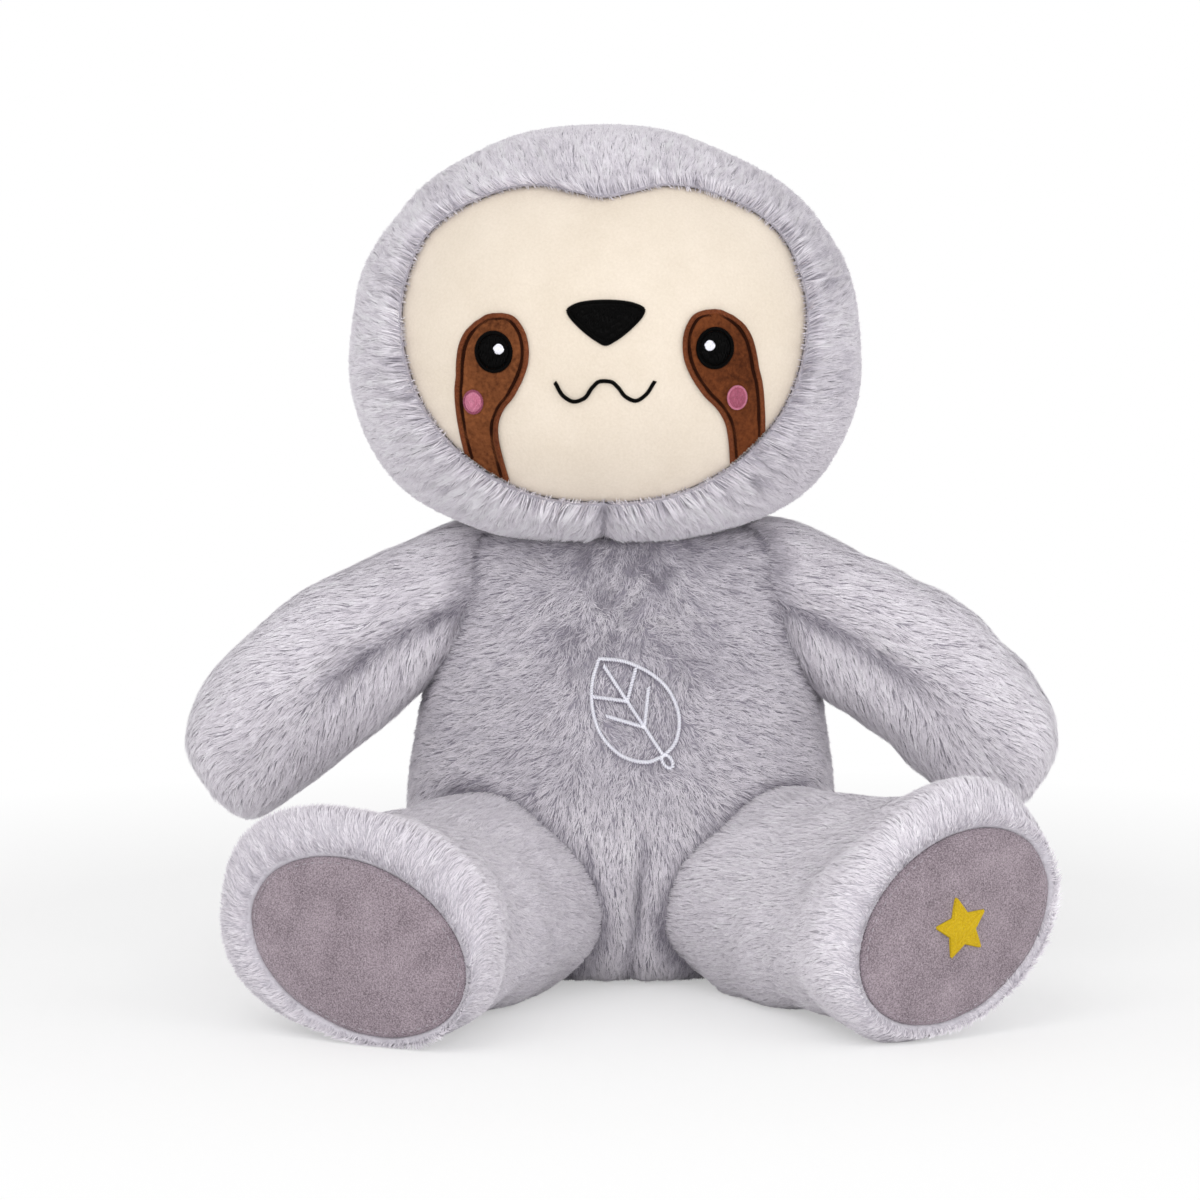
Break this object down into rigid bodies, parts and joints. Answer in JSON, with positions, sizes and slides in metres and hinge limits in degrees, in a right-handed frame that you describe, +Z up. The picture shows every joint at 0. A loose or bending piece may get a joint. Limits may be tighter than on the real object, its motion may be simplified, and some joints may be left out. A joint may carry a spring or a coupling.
{
  "type": "plush sloth",
  "caption": "Seated plush sloth with a round hooded face, drooping arms, forward legs with sewn sole pads and a leaf stitched on the chest.",
  "frame": {"origin": "on the floor under the middle of the body's seat", "axes": "+Z up, -Y towards the front where the face looks, +X to the right as seen from the front"},
  "size_m": [0.3604, 0.2679, 0.355],
  "materials": {
    "grey_fur": "matte",
    "pale_grey_fur": "matte",
    "cream_velour": "matte",
    "grey_velour": "matte",
    "brown_velour": "matte",
    "black_satin_stitch": "satin",
    "pink_satin_stitch": "satin",
    "white_thread": "satin",
    "yellow_thread": "satin",
    "fibre_filling": "matte",
    "pouch_cloth": "matte"
  },
  "bodies": {
    "body": {"body_skin": "grey_fur", "body_stuffing": "fibre_filling", "bead_pouch": "pouch_cloth", "leaf_embroidery": "white_thread"},
    "head": {"head_skin": "grey_fur", "head_stuffing": "fibre_filling", "face_panel": "cream_velour", "eye_patch_left": "brown_velour", "eye_patch_right": "brown_velour", "eye_left": "black_satin_stitch", "eye_right": "black_satin_stitch", "eye_glint_left": "white_thread", "eye_glint_right": "white_thread", "cheek_left": "pink_satin_stitch", "cheek_right": "pink_satin_stitch", "nose": "black_satin_stitch", "mouth": "black_satin_stitch"},
    "arm_left": {"arm_skin_left": "grey_fur", "arm_stuffing_left": "fibre_filling"},
    "arm_right": {"arm_skin_right": "grey_fur", "arm_stuffing_right": "fibre_filling"},
    "leg_left": {"leg_skin_left": "pale_grey_fur", "leg_stuffing_left": "fibre_filling", "foot_pad_left": "grey_velour"},
    "leg_right": {"leg_skin_right": "pale_grey_fur", "leg_stuffing_right": "fibre_filling", "foot_pad_right": "grey_velour", "foot_star": "yellow_thread"}
  },
  "joints": [
    {"name": "neck_nod", "type": "hinge", "parent": "body", "child": "head", "pos_m": [-0.003, 0, 0.16], "axis": [1, 0, 0], "range_deg": [-12, 12], "stiffness_Nm_per_rad": 3},
    {"name": "arm_left_raise", "type": "hinge", "parent": "body", "child": "arm_left", "pos_m": [-0.071, 0.001, 0.157], "axis": [0, 1, 0], "range_deg": [-10, 25], "stiffness_Nm_per_rad": 1},
    {"name": "arm_right_raise", "type": "hinge", "parent": "body", "child": "arm_right", "pos_m": [0.071, 0.001, 0.157], "axis": [0, -1, 0], "range_deg": [-10, 25], "stiffness_Nm_per_rad": 1},
    {"name": "leg_left_swing", "type": "hinge", "parent": "body", "child": "leg_left", "pos_m": [-0.042, -0.035, 0.0435], "axis": [0, 0, -1], "range_deg": [-5, 15], "stiffness_Nm_per_rad": 1},
    {"name": "leg_right_swing", "type": "hinge", "parent": "body", "child": "leg_right", "pos_m": [0.049, -0.035, 0.0435], "axis": [0, 0, 1], "range_deg": [-5, 15], "stiffness_Nm_per_rad": 1}
  ]
}
